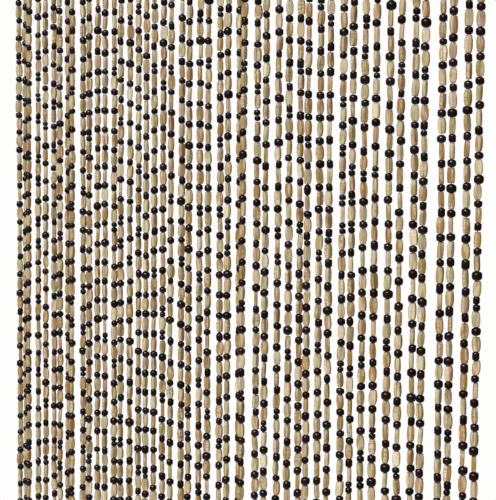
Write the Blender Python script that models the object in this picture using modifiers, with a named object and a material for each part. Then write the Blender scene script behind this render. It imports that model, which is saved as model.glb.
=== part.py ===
"""Bead curtain: 49 strands of strung beads hang in pairs from a narrow heading strip.

Metres, +Z up. The curtain hangs in the XZ plane: +X runs along its width, its front faces -Y, and
the origin is the middle of the heading strip's top edge, where the curtain is held up.
"""
import math

import bmesh
import bpy
from mathutils import Vector

MM = 0.001

# Whole curtain
CURTAIN_WIDTH = 900 * MM
CURTAIN_DROP = 2000 * MM

# Heading strip that holds the strands' roots
STRIP_HEIGHT = 20 * MM
STRIP_THICKNESS = 8 * MM
STRIP_EDGE_ROUND = 1.2 * MM

# Strands: one alone at the left end, then pairs up to the right end
PAIR_COUNT = 24
STRAND_COUNT = 2 * PAIR_COUNT + 1
RUN_OF_STRANDS = 882 * MM
PAIR_PITCH = RUN_OF_STRANDS / PAIR_COUNT
GAP_IN_PAIR = 16 * MM

# A strand has four sides, as wide as its beads are on average
STRAND_WIDTH = 6.4 * MM
STRAND_END_WIDTH = 3.2 * MM
STRAND_END_LENGTH = 9 * MM
ROOT_DEPTH = 6 * MM
STEPS_DOWN_A_STRAND = 12

# Every strand spreads outwards a little on its way down, and sways by a small amount of its own
SPREAD_PER_METRE = 3 * MM
SMALL_SWAY = 0.9 * MM
SWAY_TURN = math.radians(137.5)

# Strands that hang clearly out of line, in millimetres at the middle of the drop:
# strand counted from the left end, aside (+ to the right), forward (+ to the viewer)
STRAYS = (
    (0, 1.5, -3.0),
    (1, 2.5, 0.0),
    (2, 1.5, 3.5),
    (3, -3.0, 0.0),
    (4, 3.5, 0.0),
    (5, 3.5, 0.0),
    (6, 1.0, 0.0),
    (7, 3.5, 0.0),
    (8, 1.0, 4.5),
    (9, 2.5, 0.0),
    (10, 1.5, 0.0),
    (11, -2.0, 0.0),
    (12, 2.5, 0.0),
    (13, 1.5, 0.0),
    (15, 2.0, 0.0),
    (16, 2.5, 0.0),
    (18, 1.5, 0.0),
    (19, -2.5, 0.0),
    (20, 1.0, 0.0),
    (23, 2.0, 0.0),
    (25, 3.0, -2.0),
    (26, 3.0, 0.0),
    (27, 4.0, 0.0),
    (28, 1.0, 4.0),
    (29, -1.5, 0.0),
    (31, 2.0, 0.0),
    (32, 3.5, 0.0),
    (33, 4.5, 0.0),
    (34, -1.0, 0.0),
    (35, -1.5, 0.0),
    (37, -1.5, 0.0),
    (39, -3.0, 0.5),
    (40, -2.5, 0.0),
    (42, -1.5, 0.0),
    (44, -2.5, 0.0),
    (45, 1.0, 0.0),
    (46, 1.5, 0.0),
)


def strand_root(strand):
    """X of a strand where it leaves the heading strip. The even ones lie on the pair pitch."""
    pair = (strand + 1) // 2
    right_hand = -RUN_OF_STRANDS / 2 + pair * PAIR_PITCH
    return right_hand - (GAP_IN_PAIR if strand % 2 else 0)


def ease_in(share):
    """Goes smoothly from 0 to 1 as share does."""
    share = min(max(share, 0), 1)
    return share * share * (3 - 2 * share)


def strand_sway(strand, z):
    """How far a strand's middle lies from plumb below its root, at height z."""
    below_strip = max(-STRIP_HEIGHT - z, 0)
    gain = ease_in(below_strip / (CURTAIN_DROP / 2))
    aside, forward = {row[0]: row[1:] for row in STRAYS}.get(strand, (0, 0))
    turn = strand * SWAY_TURN
    spread = SPREAD_PER_METRE * below_strip * strand_root(strand) / (RUN_OF_STRANDS / 2)
    x = spread + gain * (aside * MM + SMALL_SWAY * math.cos(turn))
    y = gain * (-forward * MM + SMALL_SWAY * math.sin(turn))
    return Vector((x, y, 0))


def make_material(name, colour, roughness):
    material = bpy.data.materials.new(name)
    material.use_nodes = True
    shader = material.node_tree.nodes["Principled BSDF"]
    shader.inputs["Base Color"].default_value = (*colour, 1)
    shader.inputs["Roughness"].default_value = roughness
    shader.inputs["Metallic"].default_value = 0
    return material


def add_object(name, mesh, collection, material):
    part = bpy.data.objects.new(name, mesh)
    part.data.materials.append(material)
    collection.objects.link(part)
    return part


def add_box(mesh, low, high):
    """Adds a box between two corners to a bmesh and gives its vertices."""
    size = high - low
    verts = bmesh.ops.create_cube(mesh, size=1)["verts"]
    bmesh.ops.scale(mesh, vec=size, verts=verts)
    bmesh.ops.translate(mesh, vec=(low + high) / 2, verts=verts)
    return verts


def strand_levels(top):
    """Heights of the cuts along a strand, the last one where its end starts to narrow."""
    lowest = -CURTAIN_DROP + STRAND_END_LENGTH
    step = (lowest - top) / STEPS_DOWN_A_STRAND
    return [top + step * (i + 1) for i in range(STEPS_DOWN_A_STRAND)]


def make_strand(strand):
    """One strand as a closed four-sided bar that follows its sway and narrows at its lower end."""
    mesh = bmesh.new()
    half = STRAND_WIDTH / 2
    top = -STRIP_HEIGHT + ROOT_DEPTH
    add_box(mesh, Vector((-half, -half, -CURTAIN_DROP)), Vector((half, half, top)))
    for level in strand_levels(-STRIP_HEIGHT):
        everything = mesh.verts[:] + mesh.edges[:] + mesh.faces[:]
        bmesh.ops.bisect_plane(mesh, geom=everything, plane_co=(0, 0, level), plane_no=(0, 0, 1))
    for vert in mesh.verts:
        if vert.co.z < -CURTAIN_DROP + STRAND_END_LENGTH / 2:
            vert.co.x *= STRAND_END_WIDTH / STRAND_WIDTH
            vert.co.y *= STRAND_END_WIDTH / STRAND_WIDTH
        vert.co += Vector((strand_root(strand), 0, 0)) + strand_sway(strand, vert.co.z)
    return mesh


def make_strands():
    """All the strands in one mesh. They stand apart from each other."""
    joined = bmesh.new()
    for strand in range(STRAND_COUNT):
        one = make_strand(strand)
        piece = bpy.data.meshes.new("strand")
        one.to_mesh(piece)
        one.free()
        joined.from_mesh(piece)
        bpy.data.meshes.remove(piece)
    mesh = bpy.data.meshes.new("strands")
    joined.to_mesh(mesh)
    joined.free()
    return mesh


def make_strip():
    """The heading strip: a flat bar with its edges eased."""
    strip = bmesh.new()
    half = Vector((CURTAIN_WIDTH / 2, STRIP_THICKNESS / 2, 0))
    add_box(strip, Vector((-half.x, -half.y, -STRIP_HEIGHT)), Vector((half.x, half.y, 0)))
    mesh = bpy.data.meshes.new("heading_strip")
    strip.to_mesh(mesh)
    strip.free()
    return mesh


def clear_scene():
    for leftover in list(bpy.data.objects):
        bpy.data.objects.remove(leftover, do_unlink=True)


def main():
    clear_scene()
    curtain = bpy.data.collections.new("bead_curtain")
    operands = bpy.data.collections.new("operands")
    for collection in (curtain, operands):
        bpy.context.scene.collection.children.link(collection)

    bead_wood = make_material("bead_wood", (0.33, 0.22, 0.12), 0.5)

    heading = add_object("heading_with_strands", make_strip(), curtain, bead_wood)
    ease = heading.modifiers.new("eased_edges", "BEVEL")
    ease.width = STRIP_EDGE_ROUND
    ease.segments = 1

    strands = add_object("strands", make_strands(), operands, bead_wood)
    strands.hide_render = True
    strands.display_type = "WIRE"
    fuse = heading.modifiers.new("roots_of_strands", "BOOLEAN")
    fuse.operation = "UNION"
    fuse.object = strands


main()
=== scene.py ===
import math

import bpy
import numpy as np
from mathutils import Matrix, Vector


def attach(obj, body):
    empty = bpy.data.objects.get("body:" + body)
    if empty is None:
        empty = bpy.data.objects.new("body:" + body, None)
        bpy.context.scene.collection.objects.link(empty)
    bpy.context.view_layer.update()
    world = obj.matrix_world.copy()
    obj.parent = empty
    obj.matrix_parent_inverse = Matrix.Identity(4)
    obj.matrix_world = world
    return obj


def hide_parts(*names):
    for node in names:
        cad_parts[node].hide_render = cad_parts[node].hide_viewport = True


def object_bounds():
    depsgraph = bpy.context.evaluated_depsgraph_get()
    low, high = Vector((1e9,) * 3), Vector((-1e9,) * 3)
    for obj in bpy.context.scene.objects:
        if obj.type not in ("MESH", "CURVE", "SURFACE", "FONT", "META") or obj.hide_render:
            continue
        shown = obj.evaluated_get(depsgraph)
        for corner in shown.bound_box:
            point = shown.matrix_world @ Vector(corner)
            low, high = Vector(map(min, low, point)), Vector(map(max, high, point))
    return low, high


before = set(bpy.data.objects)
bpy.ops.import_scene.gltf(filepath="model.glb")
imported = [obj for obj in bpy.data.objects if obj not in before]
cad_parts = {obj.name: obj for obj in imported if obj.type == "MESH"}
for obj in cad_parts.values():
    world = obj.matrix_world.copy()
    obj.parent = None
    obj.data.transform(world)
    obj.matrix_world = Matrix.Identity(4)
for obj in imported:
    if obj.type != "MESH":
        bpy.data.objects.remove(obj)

# Bead curtain. The frame's origin is the middle of the heading strip's top edge, +X runs along the
# width, the front faces -Y, and the strands hang towards -Z. Lengths are in metres.
cad_low, cad_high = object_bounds()
MM = 0.001
NODE = "heading_with_strands"

# Heading strip
STRIP_LENGTH = cad_high.x - cad_low.x
STRIP_HEIGHT = 20 * MM
STRIP_THICKNESS = 8 * MM
STRIP_EDGE_ROUND = 1.4 * MM
END_EASE = 0.3

# Strands: one alone at the left end, then pairs up to the right end
CURTAIN_DROP = -cad_low.z
PAIR_COUNT = 24
STRAND_COUNT = 2 * PAIR_COUNT + 1
RUN_OF_STRANDS = 882 * MM
GAP_IN_PAIR = 16 * MM
STRANDS_IN_A_PIECE = 7

# Every strand spreads outwards a little on its way down, and sways by a small amount of its own
SPREAD_PER_METRE = 3 * MM
SMALL_SWAY = 0.9 * MM
SWAY_TURN = math.radians(137.5)

# Strands that hang clearly out of line, in millimetres at the middle of the drop:
# strand counted from the left end, aside (+ to the right), forward (+ to the viewer)
STRAYS = (
    (0, 1.5, -3.0),
    (1, 2.5, 0.0),
    (2, 1.5, 3.5),
    (3, -3.0, 0.0),
    (4, 3.5, 0.0),
    (5, 3.5, 0.0),
    (6, 1.0, 0.0),
    (7, 3.5, 0.0),
    (8, 1.0, 4.5),
    (9, 2.5, 0.0),
    (10, 1.5, 0.0),
    (11, -2.0, 0.0),
    (12, 2.5, 0.0),
    (13, 1.5, 0.0),
    (15, 2.0, 0.0),
    (16, 2.5, 0.0),
    (18, 1.5, 0.0),
    (19, -2.5, 0.0),
    (20, 1.0, 0.0),
    (23, 2.0, 0.0),
    (25, 3.0, -2.0),
    (26, 3.0, 0.0),
    (27, 4.0, 0.0),
    (28, 1.0, 4.0),
    (29, -1.5, 0.0),
    (31, 2.0, 0.0),
    (32, 3.5, 0.0),
    (33, 4.5, 0.0),
    (34, -1.0, 0.0),
    (35, -1.5, 0.0),
    (37, -1.5, 0.0),
    (39, -3.0, 0.5),
    (40, -2.5, 0.0),
    (42, -1.5, 0.0),
    (44, -2.5, 0.0),
    (45, 1.0, 0.0),
    (46, 1.5, 0.0),
)

# Flat beads of pale cane: the usual size, its standard deviation, and the most that a bead is below
# and above the usual. The end share is an end's width over the middle's.
FLAT_LENGTH = (15.05 * MM, 0.5 * MM, 1.3 * MM, 1.3 * MM)
FLAT_WIDTH = (8.0 * MM, 0.38 * MM, 1.0 * MM, 0.9 * MM)
FLAT_THICKNESS = (4.5 * MM, 0.3 * MM, 0.7 * MM, 0.7 * MM)
FLAT_END_SHARE = (0.70, 0.06, 0.13, 0.13)
FLAT_CORNER = 0.85 * MM
FLAT_CORNER_SHARE = 0.45
FLAT_BULGE = 2.2
FLAT_THINNING = 0.05

# A flat bead's look: shapes of the two draws that give its tone and its streaks, and between which
# places across it (-1 to 1 from edge to edge) its brown skin may begin. The skin lies on the bead's +x side,
# which the turns leave facing away from the key light on most beads, so it is partly painted shade
TONE_SHAPE = (0.9, 0.95)
STREAKS_SHAPE = (1.2, 1.5)
SKIN_AND_SHADE_BORDER = (-0.25, 1.15)

# How far from the grain's middle a bead's place in it may be, in millimetres
GRAIN_REACH = 500

# Dark turned beads, in millimetres: across, tall, squareness of the outline (2 is round)
DARK_SHAPES = {
    "round": (8.75, 8.0, 2.7),
    "large_round": (10.0, 9.1, 2.7),
    "small_round": (7.4, 6.4, 3.2),
    "long_round": (8.0, 8.6, 3.4),
    "barrel": (7.3, 8.55, 4.4),
    "egg": (7.6, 10.9, 2.1),
}
DARK_SIZE_SPREAD = 0.045

# What is strung between two flat beads, and its share of the places
DARK_GROUPS = (
    (0.52, ("round",)),
    (0.09, ("large_round",)),
    (0.105, ("small_round", "small_round")),
    (0.105, ("long_round",)),
    (0.145, ("barrel",)),
    (0.02, ("barrel", "small_round")),
    (0.015, ("egg",)),
)

# Play between beads: mostly they touch, and now and then the thread shows
TOP_GAP = (0.3 * MM, 1.2 * MM)
USUAL_GAP = 0.05 * MM
WIDE_GAP = 1.1 * MM
WIDE_GAP_SHARE = 0.09
OFF_CENTRE = 0.25 * MM
TILT = math.radians(1.7)
LEAN_STEP = 1 * MM
STRAND_LENGTH_BIAS = 0.22 * MM

# Thread and the knot under the last bead
THREAD_ACROSS = 1.0 * MM
THREAD_SIDES = 5
THREAD_STEP = 50 * MM
THREAD_IN_STRIP = 4 * MM
KNOT_RADIUS = 1.7 * MM
KNOT_SIDES = 8
KNOT_LATITUDES = (80, 52, 20, -14, -46, -74)
KNOT_SWELL, KNOT_LAG = 0.16, 1.3
KNOT_ROOM = 14 * MM
TAIL_LENGTH = 9 * MM
TAIL_SHARES = np.array([0.3, 0.65, 1.0])
TAIL_FRAY = np.array([0.9, 1.0, 1.5])
TAIL_BEND = 0.35

# Seeds of a strand's draws, to which its number is added: for its order, its flat and its dark beads
ORDER_SEED = 4100
FLAT_SEED = 5100
DARK_SEED = 6100


def strand_root(strand):
    """X of a strand at the strip. The even ones stand on the pair pitch, the odd ones a gap to the left."""
    pair = (strand + 1) // 2
    right_hand = -RUN_OF_STRANDS / 2 + pair * RUN_OF_STRANDS / PAIR_COUNT
    return right_hand - (GAP_IN_PAIR if strand % 2 else 0)


def stray(strand):
    for number, aside, forward in STRAYS:
        if number == strand:
            return aside * MM, forward * MM
    return 0, 0


def strand_middle(strand, z):
    """A strand's X and Y at heights z: its root, plus a spread that grows evenly, plus a sway that eases in.

    The sway follows the smooth step 3s^2 - 2s^3, which is whole at the middle of the drop.
    """
    below = np.clip(-STRIP_HEIGHT - z, 0, None)
    share = np.clip(below / (CURTAIN_DROP / 2), 0, 1)
    gain = share * share * (3 - 2 * share)
    aside, forward = stray(strand)
    root = strand_root(strand)
    turn = strand * SWAY_TURN
    spread = SPREAD_PER_METRE * below * root / (RUN_OF_STRANDS / 2)
    x = root + spread + gain * (aside + SMALL_SWAY * math.cos(turn))
    y = gain * (-forward + SMALL_SWAY * math.sin(turn))
    return x, y


def varied(draw, usual, spread, most_below, most_above, count=None):
    """Draws sizes about the usual one, held between the limits below and above it."""
    return usual + np.clip(draw.normal(0, spread, count), -most_below, most_above)


def strung(strand):
    """Strings one strand from the strip down. Gives its flat beads, its dark beads and its lowest point.

    A flat bead's row has its middle's height and its length. A dark bead's row has its middle's height,
    how tall it is, how wide across, and its squareness.
    """
    draw = np.random.default_rng(ORDER_SEED + strand)
    own_length = FLAT_LENGTH[0] + draw.normal(0, STRAND_LENGTH_BIAS)
    shares = [share for share, _ in DARK_GROUPS]
    flat, dark = [], []
    z = -STRIP_HEIGHT - draw.uniform(*TOP_GAP)
    lowest = -CURTAIN_DROP + KNOT_ROOM
    while True:
        length = varied(draw, own_length, *FLAT_LENGTH[1:])
        group = DARK_GROUPS[draw.choice(len(DARK_GROUPS), p=shares)][1]
        sizes = []
        for kind in group:
            across, tall, square = DARK_SHAPES[kind]
            grow = 1 + draw.normal(0, DARK_SIZE_SPREAD)
            flatten = 1 + draw.normal(0, DARK_SIZE_SPREAD)
            sizes.append((across * grow * MM, tall * grow * flatten * MM, square))
        gaps = np.where(draw.random(2) < WIDE_GAP_SHARE, WIDE_GAP * draw.random(2), USUAL_GAP)
        if z - length - gaps.sum() - sum(size[1] for size in sizes) < lowest:
            break
        flat.append((z - length / 2, length))
        z -= length + gaps[0]
        for across, tall, square in sizes:
            dark.append((z - tall / 2, tall, across, square))
            z -= tall
        z -= gaps[1]
    return np.array(flat), np.array(dark), z


def placed(strand, middles, draw):
    """Middle points of beads on a strand and the slope that each leans by, with its own small play."""
    x, y = strand_middle(strand, middles)
    x_below, y_below = strand_middle(strand, middles - LEAN_STEP)
    lean = np.stack([x - x_below, y - y_below], axis=1) / LEAN_STEP
    lean += draw.normal(0, TILT, lean.shape)
    off = draw.normal(0, OFF_CENTRE, (len(middles), 2))
    return np.stack([x + off[:, 0], y + off[:, 1], middles], axis=1), lean


def turned(local, turn):
    """Turns points about the vertical, one angle for each bead."""
    cos, sin = np.cos(turn)[:, None, None], np.sin(turn)[:, None, None]
    x, y, z = local[..., 0], local[..., 1], local[..., 2]
    return np.stack([cos * x - sin * y, sin * x + cos * y, z], axis=-1)


def set_down(local, middles, lean):
    """Leans beads as a whole, so that x and y shift with height, and puts them at their middles."""
    shift = lean[:, None, None, :] * local[..., 2:3]
    leant = local.copy()
    leant[..., :2] += shift
    return leant + middles[:, None, None, :]


# A flat bead's rings along its length: place (-1 to 1) and how much the ring is drawn in at the rim
FLAT_RINGS = np.array([(1.0, 0.87), (0.95, 1.0), (0.4, 1.0), (-0.4, 1.0), (-0.95, 1.0), (-1.0, 0.87)])


def flat_bead_grid(length, width, thickness, end_share):
    """Flat beads as arrays of bead, ring, side and xyz.

    For t from -1 to 1 along the bead, its fullness is f = 1 - |t|^p, with p the bulge. The half width
    is w (e + (1 - e) f) for an end share e, and the half thickness d (1 - k + k f) for a thinning k.
    Across the bead the ring is a rectangle with cut corners, given below by each corner's signs of x
    and y and by the side that its cut shortens, from the front right corner on.
    """
    place, rim = FLAT_RINGS[:, 0], FLAT_RINGS[:, 1]
    fullness = 1 - np.abs(place) ** FLAT_BULGE
    half_width = (width / 2)[:, None] * (end_share[:, None] + (1 - end_share[:, None]) * fullness) * rim
    half_thick = (thickness / 2)[:, None] * (1 - FLAT_THINNING + FLAT_THINNING * fullness) * rim
    corner = np.minimum(FLAT_CORNER, half_thick * FLAT_CORNER_SHARE)
    x_sign = np.array([1, 1, 1, -1, -1, -1, -1, 1])
    y_sign = np.array([-1, 1, 1, 1, 1, -1, -1, -1])
    x_cut = np.array([0, 0, 1, 1, 0, 0, 1, 1])
    y_cut = np.array([1, 1, 0, 0, 1, 1, 0, 0])
    x = x_sign * (half_width[..., None] - x_cut * corner[..., None])
    y = y_sign * (half_thick[..., None] - y_cut * corner[..., None])
    z = np.broadcast_to((length / 2)[:, None, None] * place[None, :, None], x.shape)
    return np.stack([x, y, z], axis=-1)


DARK_SIDES = 10
DARK_LATITUDES = np.radians([72, 40, 14, -14, -40, -72])


def dark_bead_grid(tall, across, square):
    """Turned beads as arrays of bead, ring, side and xyz.

    The outline is a superellipse: radius r cos(a)^(2/n) and height h sin(a)^(2/n), for latitude a
    and squareness n, so n of 2 is a round bead and a larger n a barrel.
    """
    power = (2 / square)[:, None]
    radius = (across / 2)[:, None] * np.cos(DARK_LATITUDES) ** power
    height = (tall / 2)[:, None] * np.sign(DARK_LATITUDES) * np.abs(np.sin(DARK_LATITUDES)) ** power
    angle = np.arange(DARK_SIDES) * 2 * math.pi / DARK_SIDES
    x = radius[..., None] * np.cos(angle)
    y = radius[..., None] * np.sin(angle)
    z = np.broadcast_to(height[..., None], x.shape)
    return np.stack([x, y, z], axis=-1)


# The pieces' map: its name, the margin round a cell, the band at the cell's foot for the end faces, how
# large they are in that band, and where across the cell the top and the bottom one lie
MAP_NAME = "OFBake"
MAP_MARGIN = 0.06
MAP_CAP_BAND = 0.16
MAP_CAP_SHARE = 0.42
MAP_TOP_PLACE, MAP_BOTTOM_PLACE = 0.3, 0.7


def unrolled(count, rings, sides):
    """Places on a square map, one cell for each closed ringed form, as sides' places and caps' places.

    The side of a form is unrolled over its cell, and its two end faces lie as small rounds below it.
    """
    columns = math.ceil(math.sqrt(count))
    cell = 1 / columns
    row, column = np.divmod(np.arange(count), columns)
    corner = np.stack([column, row], axis=1) * cell
    across = MAP_MARGIN + np.arange(sides + 1) / sides * (1 - 2 * MAP_MARGIN)
    down = 1 - MAP_MARGIN - np.arange(rings) / (rings - 1) * (1 - 2 * MAP_MARGIN - MAP_CAP_BAND)
    u, v = np.meshgrid(across, down)
    grid = np.stack([u, v], axis=-1)
    u0, u1 = grid[:-1, :-1], grid[1:, :-1]
    u2, u3 = grid[1:, 1:], grid[:-1, 1:]
    quads = np.stack([u0, u1, u2, u3], axis=2).reshape(-1, 2)
    angle = np.arange(sides) * 2 * math.pi / sides
    face = np.stack([np.cos(angle), np.sin(angle)], axis=1) * MAP_CAP_BAND * MAP_CAP_SHARE
    middle = (MAP_MARGIN + MAP_CAP_BAND) / 2
    caps = np.concatenate([face + (MAP_TOP_PLACE, middle), face[::-1] + (MAP_BOTTOM_PLACE, middle)])
    return np.concatenate([quads, caps])[None] * cell + corner[:, None]


def closed_rings(name, points, shade_angle=30):
    """A mesh of closed forms, from points as an array of form, ring, side and xyz, top ring first.

    Neighbouring rings are joined by four-sided faces all the way round, and the first and last
    rings are closed by one flat face each.
    """
    count, rings, sides = points.shape[:3]
    index = np.arange(count * rings * sides).reshape(count, rings, sides)
    after = np.roll(index, -1, axis=2)
    quads = np.stack([index[:, :-1], index[:, 1:], after[:, 1:], after[:, :-1]], axis=-1).reshape(count, -1)
    top, bottom = index[:, 0], index[:, -1, ::-1]
    loops = np.concatenate([quads, top, bottom], axis=1)
    sizes = np.concatenate([np.full((rings - 1) * sides, 4), [sides, sides]])
    sizes = np.tile(sizes, count)
    starts = np.concatenate([[0], np.cumsum(sizes)[:-1]])

    mesh = bpy.data.meshes.new(name)
    mesh.vertices.add(index.size)
    mesh.vertices.foreach_set("co", points.astype(np.float32).ravel())
    mesh.loops.add(loops.size)
    mesh.loops.foreach_set("vertex_index", loops.astype(np.int32).ravel())
    mesh.polygons.add(sizes.size)
    mesh.polygons.foreach_set("loop_start", starts.astype(np.int32))
    mesh.update(calc_edges=True)
    places = mesh.uv_layers.new(name=MAP_NAME)
    places.data.foreach_set("uv", unrolled(count, rings, sides).astype(np.float32).ravel())
    mesh.shade_smooth()
    mesh.set_sharp_from_angle(angle=math.radians(shade_angle))
    mesh.validate()
    return mesh


def give_attribute(mesh, name, values, kind="FLOAT_VECTOR"):
    layer = mesh.attributes.new(name, kind, "POINT")
    field = {"FLOAT_VECTOR": "vector", "FLOAT_COLOR": "color", "FLOAT": "value"}[kind]
    layer.data.foreach_set(field, values.astype(np.float32).ravel())


def for_all_points(values, local):
    """Repeats each bead's row of values for all the points of its grid."""
    return np.repeat(values, local.shape[1] * local.shape[2], axis=0)


def grain_places(local, draw):
    """Every point's place in the grain, in millimetres, with a spot of its own for each bead."""
    start = draw.uniform(-GRAIN_REACH, GRAIN_REACH, (len(local), 1, 1, 3))
    return (local / MM + start).reshape(-1, 3)


def add_piece(name, mesh, material):
    piece = bpy.data.objects.new(name, mesh)
    bpy.context.scene.collection.objects.link(piece)
    mesh.materials.append(material)
    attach(piece, "root")
    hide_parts(NODE)


def nodes_of(material):
    material.use_nodes = True
    tree = material.node_tree
    return tree, tree.nodes["Principled BSDF"]


def join(tree, start, end):
    tree.links.new(start, end)


def add_node(tree, kind, **settings):
    node = tree.nodes.new(kind)
    for key, value in settings.items():
        setattr(node, key, value)
    return node


def attribute(tree, name, output="Fac"):
    return add_node(tree, "ShaderNodeAttribute", attribute_name=name).outputs[output]


def maths(tree, operation, first, second=None, third=None):
    node = add_node(tree, "ShaderNodeMath", operation=operation)
    for socket, value in zip(node.inputs, (first, second, third)):
        if value is None:
            continue
        if isinstance(value, (int, float)):
            socket.default_value = value
        else:
            join(tree, value, socket)
    return node.outputs[0]


def blend(tree, amount, first, second):
    """Mixes two colours, each a socket or a colour, by an amount."""
    node = add_node(tree, "ShaderNodeMix", data_type="RGBA", blend_type="MIX", clamp_factor=True)
    for socket, value in ((node.inputs[0], amount), (node.inputs[6], first), (node.inputs[7], second)):
        if isinstance(value, (int, float)):
            socket.default_value = value
        elif isinstance(value, tuple):
            socket.default_value = (*value, 1)
        else:
            join(tree, value, socket)
    return node.outputs[2]


def remap(tree, value, low, high, new_low=0.0, new_high=1.0):
    """Goes smoothly from one number to another as a value goes from low to high."""
    node = add_node(tree, "ShaderNodeMapRange", interpolation_type="SMOOTHSTEP")
    join(tree, value, node.inputs["Value"])
    for name, number in (("From Min", low), ("From Max", high), ("To Min", new_low), ("To Max", new_high)):
        node.inputs[name].default_value = number
    return node.outputs["Result"]


# What the grain group takes, with its usual sizes in millimetres
GRAIN_SIZES = (
    ("Streak width", 1.8),
    ("Streak length", 26.0),
    ("Fibre width", 0.45),
    ("Patch width", 3.2),
    ("Patch length", 16.0),
    ("Tick width", 6.0),
    ("Tick length", 1.6),
)
FIBRE_SLENDERNESS = 14.0

# What it puts out, each from a stretched noise: the sizes it takes (a fibre's length follows its width),
# the noise's detail, and the noise at which the mask begins and is full
GRAIN_MASKS = (
    ("Streaks", "Streak width", "Streak length", 1.5, 0.48, 0.55),
    ("Fibres", "Fibre width", None, 2.0, 0.3, 0.7),
    ("Patches", "Patch width", "Patch length", 1.0, 0.45, 0.6),
    ("Ticks", "Tick width", "Tick length", 1.0, 0.46, 0.6),
)


def make_cane_grain():
    """Shader group: streaks, fibres and patches along Z and ticks across it, from a place in millimetres."""
    group = bpy.data.node_groups.new("Cane grain", "ShaderNodeTree")
    face = group.interface
    face.new_socket("Place", in_out="INPUT", socket_type="NodeSocketVector")
    for name, value in GRAIN_SIZES:
        socket = face.new_socket(name, in_out="INPUT", socket_type="NodeSocketFloat")
        socket.default_value = value
    for mask, *_ in GRAIN_MASKS:
        face.new_socket(mask, in_out="OUTPUT", socket_type="NodeSocketFloat")
    source = add_node(group, "NodeGroupInput")
    result = add_node(group, "NodeGroupOutput")

    def stretched(width, length):
        combine = add_node(group, "ShaderNodeCombineXYZ")
        thin = maths(group, "DIVIDE", 1.0, width)
        join(group, thin, combine.inputs[0])
        join(group, thin, combine.inputs[1])
        join(group, maths(group, "DIVIDE", 1.0, length), combine.inputs[2])
        scale = add_node(group, "ShaderNodeVectorMath", operation="MULTIPLY")
        join(group, source.outputs["Place"], scale.inputs[0])
        join(group, combine.outputs[0], scale.inputs[1])
        return scale.outputs[0]

    for mask, width_name, length_name, detail, begins, full in GRAIN_MASKS:
        width = source.outputs[width_name]
        if length_name is None:
            length = maths(group, "MULTIPLY", width, FIBRE_SLENDERNESS)
        else:
            length = source.outputs[length_name]
        noise = add_node(group, "ShaderNodeTexNoise")
        noise.inputs["Scale"].default_value = 1
        noise.inputs["Detail"].default_value = detail
        join(group, stretched(width, length), noise.inputs["Vector"])
        join(group, remap(group, noise.outputs["Fac"], begins, full), result.inputs[mask])
    return group


def place_grain(tree, group, place, **values):
    node = add_node(tree, "ShaderNodeGroup", node_tree=group)
    join(tree, place, node.inputs["Place"])
    for name, value in values.items():
        node.inputs[name.replace("_", " ")].default_value = value
    return node.outputs


def bump(tree, shader, height, distance, strength):
    node = add_node(tree, "ShaderNodeBump")
    node.inputs["Distance"].default_value = distance
    node.inputs["Strength"].default_value = strength
    join(tree, height, node.inputs["Height"])
    join(tree, node.outputs["Normal"], shader.inputs["Normal"])


# Colours of the cane's pale core
CREAM = (0.715, 0.65, 0.482)
BEIGE = (0.485, 0.405, 0.246)
STRAW = (0.43, 0.392, 0.168)
ROSY = (0.5, 0.342, 0.215)
TAN = (0.308, 0.180, 0.055)
RUST = (0.355, 0.156, 0.034)
SEPIA = (0.26, 0.132, 0.038)

# Colours of its skin, which also paints shade on the side away from the key light, and the darker brown at a
# bead's bored ends
RUSSET = (0.288, 0.124, 0.036)
UMBER = (0.25, 0.168, 0.044)
END_BROWN = (0.11, 0.055, 0.022)

# Tints of the near-black lacquer, and the brown that shows through it in streaks
BROWN_BLACK = (0.0070, 0.0024, 0.0004)
PLUM_BLACK = (0.0078, 0.0014, 0.0050)
GREEN_BLACK = (0.0022, 0.0042, 0.0018)
WORN_BROWN = (0.012, 0.005, 0.003)

# Colours of the thread, the darker one painted as shade in the grooves of its twist, and of the strip's wood
THREAD_BROWN = (0.42, 0.30, 0.17)
THREAD_SHADE = (0.20, 0.125, 0.065)
STRIP_WOOD = (0.42, 0.28, 0.14)
STRIP_STREAK = (0.24, 0.135, 0.055)
STRIP_FIBRE = (0.5, 0.36, 0.2)


# What tints a cane bead as a whole, over tan: its trait, where the tint begins and is full, and how strongly
CANE_TINTS = (
    ("tone", 0.0, 0.5, 1.0, BEIGE),
    ("tone", 0.5, 1.0, 1.0, CREAM),
    ("hue", 0.52, 0.82, 0.7, STRAW),
    ("hue", 0.3, 0.05, 0.65, ROSY),
    ("hue", 0.9, 0.98, 0.9, RUST),
)

# How the effects on the cane grow with what drives them: where each begins and where it is full and,
# where there are four numbers, its strength at both
STRIPE_STRENGTH = (0.0, 0.85)
STRIPE_TONES = (0.2, 0.6)
# Painted shade: both rims of a flat bead, its narrow sides with them, darken towards tan
PAINTED_RIM_SHADE = (0.5, 1.0, 0.0, 0.5)
SKIN_AND_SHADE_EDGE = (-0.1, 0.1)
SKIN_AND_SHADE_STRENGTH = (0.0, 0.5, 0.55, 1.0)
SKIN_AND_SHADE_HUES = (0.35, 0.75)
TICK_STRENGTH = (0.45, 0.7, 0.15, 0.75)
END_DARKENING = (0.86, 1.0, 0.0, 0.75)

# How far the border of the skin and its painted shade wanders, how strong fibres and patches are, and the
# roughness and gloss
SKIN_AND_SHADE_WANDER = 0.3
FIBRE_STRENGTH = 0.2
PATCH_STRENGTH = 0.4
CANE_ROUGHNESS = (0.42, 0.6)
CANE_GLOSS = 0.4

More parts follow.
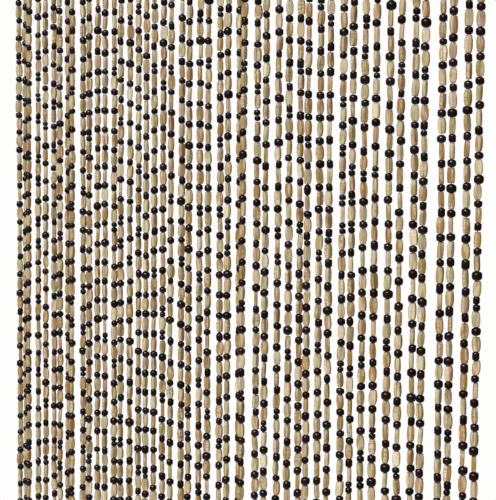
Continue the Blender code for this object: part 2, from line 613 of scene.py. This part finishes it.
# How the lacquer's tints come in over brown black, how its gloss coat wears, and the wood under the coat
PLUM_TINT = (0.3, 0.8)
GREEN_TINT = (0.6, 0.9, 0.0, 0.8)
LACQUER_STREAKS = 0.3
COAT_WEAR, COAT_WEAR_IN_PATCHES = 0.8, 0.15
COAT_ROUGHNESS = 0.12
COAT_INDEX = 1.55
UNDERCOAT_ROUGHNESS, UNDERCOAT_ROUGHNESS_IN_PATCHES = 0.3, 0.15
UNDERCOAT_GLOSS = 0.1

# Thread and strip: how close the twist's stripes are, how strong streaks and fibres are, and roughness
TWIST_SCALE = 0.35
THREAD_ROUGHNESS = 0.85
STRIP_STREAKS, STRIP_FIBRES = 0.55, 0.3
STRIP_ROUGHNESS = (0.36, 0.5)


def bead_traits(tree):
    """What every bead carries for its material: its place in the grain, in millimetres, and three traits."""
    place = attribute(tree, "bead_place", "Vector")
    parts = add_node(tree, "ShaderNodeSeparateColor")
    join(tree, attribute(tree, "bead_traits", "Color"), parts.inputs[0])
    return place, parts.outputs[0], parts.outputs[1], parts.outputs[2]


def make_cane_finish(grain):
    """Satin cane: each bead has its own tone and hue, with a brown skin on one side that also paints shade
    there, streaks and fibres.

    A bead begins as tan and is tinted by its tone and hue. Then come stripes along it, painted shade at both
    rims, the skin with its painted shade past a wandering border, fibres, pale patches, ticks on streaky
    beads, and darker brown at its ends.
    """
    material = bpy.data.materials.new("Cane, satin")
    tree, shader = nodes_of(material)
    place, tone, hue, streakiness = bead_traits(tree)
    traits = {"tone": tone, "hue": hue}
    found = place_grain(tree, grain, place, Streak_width=2.2, Streak_length=70.0, Fibre_width=0.8)

    colour = TAN
    for trait, begins, full, strength, tint in CANE_TINTS:
        colour = blend(tree, remap(tree, traits[trait], begins, full, 0.0, strength), colour, tint)

    stripe = blend(tree, remap(tree, tone, *STRIPE_TONES), RUST, SEPIA)
    striped = maths(tree, "MULTIPLY", found["Streaks"], remap(tree, streakiness, *STRIPE_STRENGTH))
    colour = blend(tree, striped, colour, stripe)

    # Painted shade at the rims, on the lit and the shaded side alike
    across = attribute(tree, "bead_across")
    rim = maths(tree, "ABSOLUTE", across)
    colour = blend(tree, remap(tree, rim, *PAINTED_RIM_SHADE), colour, TAN)

    # Skin and painted shade: past the border, mostly on the side away from the key light, the bead turns
    # russet or umber
    past_border = maths(tree, "SUBTRACT", across, attribute(tree, "bead_border"))
    wander = maths(tree, "MULTIPLY_ADD", found["Streaks"], SKIN_AND_SHADE_WANDER, -SKIN_AND_SHADE_WANDER / 2)
    skin_and_shade = remap(tree, maths(tree, "ADD", past_border, wander), *SKIN_AND_SHADE_EDGE)
    skin_and_shade = maths(tree, "MULTIPLY", skin_and_shade, remap(tree, streakiness, *SKIN_AND_SHADE_STRENGTH))
    colour = blend(tree, skin_and_shade, colour, blend(tree, remap(tree, hue, *SKIN_AND_SHADE_HUES), RUSSET, UMBER))

    colour = blend(tree, maths(tree, "MULTIPLY", found["Fibres"], FIBRE_STRENGTH), colour, TAN)
    colour = blend(tree, maths(tree, "MULTIPLY", found["Patches"], PATCH_STRENGTH), colour, CREAM)
    ticked = maths(tree, "MULTIPLY", found["Ticks"], remap(tree, streakiness, *TICK_STRENGTH))
    colour = blend(tree, ticked, colour, TAN)
    # Darker brown towards both ends of each bead
    colour = blend(tree, remap(tree, attribute(tree, "bead_end"), *END_DARKENING), colour, END_BROWN)
    join(tree, colour, shader.inputs["Base Color"])

    join(tree, remap(tree, found["Fibres"], 0.0, 1.0, *CANE_ROUGHNESS), shader.inputs["Roughness"])
    shader.inputs["Specular IOR Level"].default_value = CANE_GLOSS
    bump(tree, shader, found["Fibres"], distance=0.12 * MM, strength=0.5)
    return material


def make_lacquer_finish(grain):
    """Near-black lacquer, brown, plum or green in tint, under a gloss coat that is thin on worn beads."""
    material = bpy.data.materials.new("Dark lacquer")
    tree, shader = nodes_of(material)
    place, warmth, green, wear = bead_traits(tree)
    found = place_grain(tree, grain, place, Streak_width=1.6, Streak_length=9.0, Fibre_width=0.4)
    colour = blend(tree, remap(tree, warmth, *PLUM_TINT), BROWN_BLACK, PLUM_BLACK)
    colour = blend(tree, remap(tree, green, *GREEN_TINT), colour, GREEN_BLACK)
    colour = blend(tree, maths(tree, "MULTIPLY", found["Streaks"], LACQUER_STREAKS), colour, WORN_BROWN)
    join(tree, colour, shader.inputs["Base Color"])
    roughness = maths(tree, "MULTIPLY_ADD", found["Patches"],
                      UNDERCOAT_ROUGHNESS_IN_PATCHES, UNDERCOAT_ROUGHNESS)
    join(tree, roughness, shader.inputs["Roughness"])
    shader.inputs["Specular IOR Level"].default_value = UNDERCOAT_GLOSS
    worn = maths(tree, "MULTIPLY_ADD", found["Patches"], COAT_WEAR_IN_PATCHES, wear)
    join(tree, maths(tree, "MULTIPLY_ADD", worn, -COAT_WEAR, 1.0), shader.inputs["Coat Weight"])
    shader.inputs["Coat Roughness"].default_value = COAT_ROUGHNESS
    shader.inputs["Coat IOR"].default_value = COAT_INDEX
    bump(tree, shader, found["Fibres"], distance=0.02 * MM, strength=0.3)
    return material


def make_thread_finish():
    """Matt twisted thread: the plies show as slanting stripes on the thread's own map, with painted shade in
    the grooves between them.
    """
    material = bpy.data.materials.new("Twisted thread")
    tree, shader = nodes_of(material)
    wave = add_node(tree, "ShaderNodeTexWave", wave_type="BANDS", bands_direction="DIAGONAL")
    wave.inputs["Scale"].default_value = TWIST_SCALE
    join(tree, attribute(tree, "thread_place", "Vector"), wave.inputs["Vector"])
    colour = blend(tree, wave.outputs["Fac"], THREAD_SHADE, THREAD_BROWN)
    join(tree, colour, shader.inputs["Base Color"])
    shader.inputs["Roughness"].default_value = THREAD_ROUGHNESS
    bump(tree, shader, wave.outputs["Fac"], distance=0.2 * MM, strength=0.6)
    return material


def make_strip_finish(grain):
    """Varnished strip of plain wood, with its grain along the length."""
    material = bpy.data.materials.new("Varnished strip")
    tree, shader = nodes_of(material)
    coordinates = add_node(tree, "ShaderNodeTexCoord").outputs["Object"]
    along = add_node(tree, "ShaderNodeMapping")
    along.inputs["Rotation"].default_value = (0, math.radians(90), 0)
    along.inputs["Scale"].default_value = (1 / MM, 1 / MM, 1 / MM)
    join(tree, coordinates, along.inputs["Vector"])
    found = place_grain(tree, grain, along.outputs[0], Streak_width=2.6, Streak_length=90.0, Fibre_width=0.5)
    colour = blend(tree, maths(tree, "MULTIPLY", found["Streaks"], STRIP_STREAKS), STRIP_WOOD, STRIP_STREAK)
    colour = blend(tree, maths(tree, "MULTIPLY", found["Fibres"], STRIP_FIBRES), colour, STRIP_FIBRE)
    join(tree, colour, shader.inputs["Base Color"])
    join(tree, remap(tree, found["Fibres"], 0.0, 1.0, *STRIP_ROUGHNESS), shader.inputs["Roughness"])
    bump(tree, shader, found["Fibres"], distance=0.1 * MM, strength=0.4)
    return material


def rounded_bar(length, thickness, height, radius, corner_steps=4):
    """Points of a bar along X with its upper face at z = 0, as one form of six rings.

    A ring is a rectangle t thick and h high with quarter-round corners of radius r. At angle a from
    the top, y is +-(t/2 - r) + r sin a and z is +-(h/2 - r) + r cos a. The two outer rings of each
    end are drawn in by all and by a part of the radius, which eases the ends' rims.
    """
    corner = np.repeat(np.arange(4), corner_steps + 1)
    angle = np.radians(90) * (corner + np.tile(np.arange(corner_steps + 1) / corner_steps, 4))
    y = np.array([1, 1, -1, -1])[corner] * (thickness / 2 - radius) + radius * np.sin(angle)
    z = np.array([1, -1, -1, 1])[corner] * (height / 2 - radius) + radius * np.cos(angle)
    drawn_in = np.array([1.0, END_EASE, 0.0, 0.0, END_EASE, 1.0]) * radius
    x = -length / 2 + np.array([0, END_EASE, 1]) * radius
    points = np.empty((1, len(drawn_in), len(angle), 3))
    points[0, :, :, 0] = np.concatenate([x, -x[::-1]])[:, None]
    points[0, :, :, 1] = y * (1 - drawn_in / (thickness / 2))[:, None]
    points[0, :, :, 2] = z * (1 - drawn_in / (height / 2))[:, None] - height / 2
    return points


def make_strip(material):
    bar = rounded_bar(STRIP_LENGTH, STRIP_THICKNESS, STRIP_HEIGHT, STRIP_EDGE_ROUND)
    add_piece("heading_strip", closed_rings("heading_strip", bar), material)


def make_flat_beads(name, rows, material):
    """One piece of flat beads, from rows of strand number and bead table."""
    grids, places, traits, ends, sides, borders = [], [], [], [], [], []
    for strand, beads in rows:
        draw = np.random.default_rng(FLAT_SEED + strand)
        count = len(beads)
        middle, length = beads[:, 0], beads[:, 1]
        width = varied(draw, *FLAT_WIDTH, count)
        thickness = varied(draw, *FLAT_THICKNESS, count)
        end_share = varied(draw, *FLAT_END_SHARE, count)
        local = flat_bead_grid(length, width, thickness, end_share)
        where, lean = placed(strand, middle, draw)
        # Turns of up to half a round leave the skin's +x side facing away from the key light on most beads
        grids.append(set_down(turned(local, draw.uniform(0, math.pi, count)), where, lean))
        places.append(grain_places(local, draw))
        tone = draw.beta(*TONE_SHAPE, count)
        streaks = draw.beta(*STREAKS_SHAPE, count)
        look = np.stack([tone, draw.random(count), streaks, np.ones(count)], axis=1)
        traits.append(for_all_points(look, local))
        ends.append((np.abs(local[..., 2]) / (length / 2)[:, None, None]).ravel())
        sides.append((local[..., 0] / (width / 2)[:, None, None]).ravel())
        borders.append(for_all_points(draw.uniform(*SKIN_AND_SHADE_BORDER, count), local))
    mesh = closed_rings(name, np.concatenate(grids))
    give_attribute(mesh, "bead_across", np.concatenate(sides), "FLOAT")
    give_attribute(mesh, "bead_border", np.concatenate(borders), "FLOAT")
    give_attribute(mesh, "bead_place", np.concatenate(places))
    give_attribute(mesh, "bead_traits", np.concatenate(traits), "FLOAT_COLOR")
    give_attribute(mesh, "bead_end", np.concatenate(ends), "FLOAT")
    add_piece(name, mesh, material)


def make_dark_beads(name, rows, material):
    """One piece of dark turned beads, from rows of strand number and bead table."""
    grids, places, traits = [], [], []
    for strand, beads in rows:
        draw = np.random.default_rng(DARK_SEED + strand)
        count = len(beads)
        middle, tall, across, square = beads.T
        local = dark_bead_grid(tall, across, square)
        where, lean = placed(strand, middle, draw)
        grids.append(set_down(turned(local, draw.uniform(0, math.pi, count)), where, lean))
        places.append(grain_places(local, draw))
        look = np.concatenate([draw.random((count, 3)), np.ones((count, 1))], axis=1)
        traits.append(for_all_points(look, local))
    mesh = closed_rings(name, np.concatenate(grids), shade_angle=60)
    give_attribute(mesh, "bead_place", np.concatenate(places))
    give_attribute(mesh, "bead_traits", np.concatenate(traits), "FLOAT_COLOR")
    add_piece(name, mesh, material)


def thread_grid(strand, lowest):
    """A thread from inside the strip to its knot: a ring of sides every step down the strand's middle."""
    rings = math.ceil(CURTAIN_DROP / THREAD_STEP)
    z = np.linspace(-STRIP_HEIGHT + THREAD_IN_STRIP, lowest, rings)
    x, y = strand_middle(strand, z)
    angle = np.arange(THREAD_SIDES) * 2 * math.pi / THREAD_SIDES
    radius = THREAD_ACROSS / 2
    points = np.empty((1, rings, THREAD_SIDES, 3))
    points[0, :, :, 0] = x[:, None] + radius * np.cos(angle)
    points[0, :, :, 1] = y[:, None] + radius * np.sin(angle)
    points[0, :, :, 2] = z[:, None]
    return points


def knot_grid(strand, bottom):
    """A knot with its loose end, as one form of nine rings.

    The knot is a ball of radius r whose rings are r cos a wide at height r sin a, for latitudes a.
    All but its first and last swell and shrink twice round by s cos(2 b + k), for angle b and a lag
    k that grows from ring to ring. The loose end is a thin tail that bends aside by the square of
    its depth.
    """
    latitudes = np.radians(KNOT_LATITUDES)
    z = np.append(KNOT_RADIUS * np.sin(latitudes), -KNOT_RADIUS - TAIL_SHARES * TAIL_LENGTH)
    radius = np.append(KNOT_RADIUS * np.cos(latitudes), THREAD_ACROSS / 2 * TAIL_FRAY)
    angle = np.arange(KNOT_SIDES) * 2 * math.pi / KNOT_SIDES
    lag = KNOT_LAG * np.arange(len(latitudes) - 2)[:, None]
    swell = np.ones((len(z), KNOT_SIDES))
    swell[1:len(latitudes) - 1] += KNOT_SWELL * np.cos(2 * angle + lag)
    bend = TAIL_BEND * np.clip(-z - KNOT_RADIUS, 0, None) ** 2 / TAIL_LENGTH
    way = strand * SWAY_TURN
    x0, y0 = strand_middle(strand, np.array([bottom]))
    points = np.empty((1, len(z), KNOT_SIDES, 3))
    points[0, :, :, 0] = x0 + bend[:, None] * math.cos(way) + radius[:, None] * swell * np.cos(angle)
    points[0, :, :, 1] = y0 + bend[:, None] * math.sin(way) + radius[:, None] * swell * np.sin(angle)
    points[0, :, :, 2] = (bottom - KNOT_RADIUS + z)[:, None]
    return points


def make_of_thread(name, grids, material, shade_angle=30):
    """One piece of thread, from a grid for each strand."""
    points = np.concatenate(grids)
    mesh = closed_rings(name, points, shade_angle)
    give_attribute(mesh, "thread_place", points.reshape(-1, 3) / MM)
    add_piece(name, mesh, material)


def make_curtain():
    grain = make_cane_grain()
    cane = make_cane_finish(grain)
    lacquer = make_lacquer_finish(grain)
    thread = make_thread_finish()
    strands = [strung(strand) for strand in range(STRAND_COUNT)]
    make_strip(make_strip_finish(grain))
    for first in range(0, STRAND_COUNT, STRANDS_IN_A_PIECE):
        numbers = range(first, first + STRANDS_IN_A_PIECE)
        ends = f"{first + 1:02d}_to_{first + STRANDS_IN_A_PIECE:02d}"
        make_flat_beads(f"flat_beads_{ends}", [(n, strands[n][0]) for n in numbers], cane)
        make_dark_beads(f"dark_beads_{ends}", [(n, strands[n][1]) for n in numbers], lacquer)
    bottoms = [z for _, _, z in strands]
    threads = [thread_grid(strand, z - KNOT_RADIUS) for strand, z in enumerate(bottoms)]
    make_of_thread("threads", threads, thread)
    knots = [knot_grid(strand, z) for strand, z in enumerate(bottoms)]
    make_of_thread("end_knots", knots, thread, shade_angle=70)


# Camera, from the photograph's lines: its picture scale, how it is turned, and where it stands
PICTURE_HEIGHT = 500
PIXELS_PER_UNIT_SLOPE = 1817
CAMERA_TURN = math.radians(53.935)
CAMERA_PITCH = math.radians(4.83)
CAMERA_ROLL = math.radians(0.42)
CAMERA_PLACE = Vector((1.6887, -1.1724, -0.72))
SENSOR = 36
CAMERA_REACH = (0.05, 60)


def make_camera():
    """A camera turned about Z, pitched down and rolled, built from its right, up and backward axes."""
    ahead = Vector((-math.sin(CAMERA_TURN) * math.cos(CAMERA_PITCH),
                    math.cos(CAMERA_TURN) * math.cos(CAMERA_PITCH), -math.sin(CAMERA_PITCH)))
    right = Vector((math.cos(CAMERA_TURN), math.sin(CAMERA_TURN), 0))
    up = right.cross(ahead)
    right, up = (right * math.cos(CAMERA_ROLL) + up * math.sin(CAMERA_ROLL),
                 up * math.cos(CAMERA_ROLL) - right * math.sin(CAMERA_ROLL))
    data = bpy.data.cameras.new("camera")
    data.sensor_width = SENSOR
    data.lens = SENSOR * PIXELS_PER_UNIT_SLOPE / PICTURE_HEIGHT
    data.clip_start, data.clip_end = CAMERA_REACH
    camera = bpy.data.objects.new("camera", data)
    turn = Matrix((right, up, -ahead)).transposed().to_4x4()
    camera.matrix_world = Matrix.Translation(CAMERA_PLACE) @ turn
    bpy.context.scene.collection.objects.link(camera)
    bpy.context.scene.camera = camera


# Studio: white surroundings and floor, a soft key light from the upper left and a weaker one behind
BACKDROP = (0.985, 0.982, 0.972)
SURROUND = (1.0, 0.975, 0.93)
SURROUND_STRENGTHS = (0.05, 0.46)
BRIGHT_SIDE = (0.15, -0.88, 0.45)
SHARE_IN_GLOSS = 0.44
FLOOR_GLOW = 0.2
FLOOR_DROP = 60 * MM
FLOOR_RADIUS = 14
FLOOR_FADE = (0.9, 2.6)
FLOOR_SIDES = 96
FLOOR_COLOUR = (0.85, 0.85, 0.86)
FLOOR_ROUGHNESS = 0.8

# Softboxes: direction from the curtain's middle, distance, width, height and power in watts
SOFTBOXES = (
    ("key", (0.34, -0.71, 0.61), 12, 7.5, 4.2, 1650),
    ("back_fill", (-0.6, 0.75, 0.3), 2.9, 1.6, 1.6, 26),
)


def make_surroundings():
    """Pale surroundings, seen in the backdrop's white, that light the curtain more gently than they show."""
    world = bpy.data.worlds.new("surroundings")
    bpy.context.scene.world = world
    world.use_nodes = True
    tree = world.node_tree
    tree.nodes.clear()
    output = add_node(tree, "ShaderNodeOutputWorld")
    seen = add_node(tree, "ShaderNodeBackground")
    seen.inputs["Color"].default_value = (*BACKDROP, 1)
    ray = add_node(tree, "ShaderNodeLightPath")
    lighting = add_node(tree, "ShaderNodeBackground")
    lighting.inputs["Color"].default_value = (*SURROUND, 1)
    way = add_node(tree, "ShaderNodeTexCoord").outputs["Generated"]
    towards = add_node(tree, "ShaderNodeVectorMath", operation="DOT_PRODUCT")
    join(tree, way, towards.inputs[0])
    towards.inputs[1].default_value = BRIGHT_SIDE
    strength = add_node(tree, "ShaderNodeMapRange")
    join(tree, towards.outputs["Value"], strength.inputs["Value"])
    strength.inputs["From Min"].default_value = -1
    strength.inputs["To Min"].default_value, strength.inputs["To Max"].default_value = SURROUND_STRENGTHS
    in_gloss = maths(tree, "MULTIPLY", ray.outputs["Is Glossy Ray"], 1 - SHARE_IN_GLOSS)
    join(tree, maths(tree, "MULTIPLY", strength.outputs["Result"], maths(tree, "SUBTRACT", 1, in_gloss)),
         lighting.inputs["Strength"])
    mix = add_node(tree, "ShaderNodeMixShader")
    join(tree, ray.outputs["Is Camera Ray"], mix.inputs["Fac"])
    join(tree, lighting.outputs[0], mix.inputs[1])
    join(tree, seen.outputs[0], mix.inputs[2])
    join(tree, mix.outputs[0], output.inputs["Surface"])


def make_floor():
    """A round pale floor under the curtain, which fades into the backdrop's white away from it.

    Like the surroundings, it is dimmer in the beads' gloss than it is seen.
    """
    angle = np.arange(FLOOR_SIDES) * 2 * math.pi / FLOOR_SIDES
    level = np.full(FLOOR_SIDES, -CURTAIN_DROP - FLOOR_DROP)
    rim = np.stack([FLOOR_RADIUS * np.cos(angle), FLOOR_RADIUS * np.sin(angle), level], axis=1)
    mesh = bpy.data.meshes.new("floor")
    mesh.from_pydata(rim.tolist(), [], [list(range(FLOOR_SIDES))])
    floor = bpy.data.objects.new("floor", mesh)
    bpy.context.scene.collection.objects.link(floor)
    material = bpy.data.materials.new("Pale floor")
    tree, shader = nodes_of(material)
    shader.inputs["Base Color"].default_value = (*FLOOR_COLOUR, 1)
    shader.inputs["Roughness"].default_value = FLOOR_ROUGHNESS
    place = add_node(tree, "ShaderNodeTexCoord").outputs["Object"]
    flat = add_node(tree, "ShaderNodeVectorMath", operation="MULTIPLY")
    flat.inputs[1].default_value = (1, 1, 0)
    join(tree, place, flat.inputs[0])
    reach = add_node(tree, "ShaderNodeVectorMath", operation="LENGTH")
    join(tree, flat.outputs[0], reach.inputs[0])
    white = add_node(tree, "ShaderNodeEmission")
    white.inputs["Color"].default_value = (*BACKDROP, 1)
    seen = add_node(tree, "ShaderNodeLightPath").outputs["Is Camera Ray"]
    join(tree, maths(tree, "MULTIPLY_ADD", seen, 1 - FLOOR_GLOW, FLOOR_GLOW), white.inputs["Strength"])
    mix = add_node(tree, "ShaderNodeMixShader")
    join(tree, remap(tree, reach.outputs["Value"], *FLOOR_FADE), mix.inputs["Fac"])
    join(tree, shader.outputs[0], mix.inputs[1])
    join(tree, white.outputs[0], mix.inputs[2])
    unlit = add_node(tree, "ShaderNodeEmission")
    unlit.inputs["Strength"].default_value = 0
    in_gloss = add_node(tree, "ShaderNodeLightPath").outputs["Is Glossy Ray"]
    dimmed = add_node(tree, "ShaderNodeMixShader")
    join(tree, maths(tree, "MULTIPLY", in_gloss, 1 - SHARE_IN_GLOSS), dimmed.inputs["Fac"])
    join(tree, mix.outputs[0], dimmed.inputs[1])
    join(tree, unlit.outputs[0], dimmed.inputs[2])
    join(tree, dimmed.outputs[0], tree.nodes["Material Output"].inputs["Surface"])
    mesh.materials.append(material)


def add_softbox(name, direction, distance, width, height, power):
    """A rectangular light that faces the curtain's middle and isn't seen itself."""
    data = bpy.data.lights.new(name, "AREA")
    data.shape = "RECTANGLE"
    data.size, data.size_y = width, height
    data.energy = power
    light = bpy.data.objects.new(name, data)
    towards = Vector(direction).normalized()
    light.location = Vector((0, 0, -CURTAIN_DROP / 2)) + towards * distance
    light.rotation_euler = (-towards).to_track_quat("-Z", "Y").to_euler()
    light.visible_camera = False
    bpy.context.scene.collection.objects.link(light)


make_curtain()
make_camera()
make_surroundings()
make_floor()
for softbox in SOFTBOXES:
    add_softbox(*softbox)
bpy.context.scene.view_settings.view_transform = "Standard"
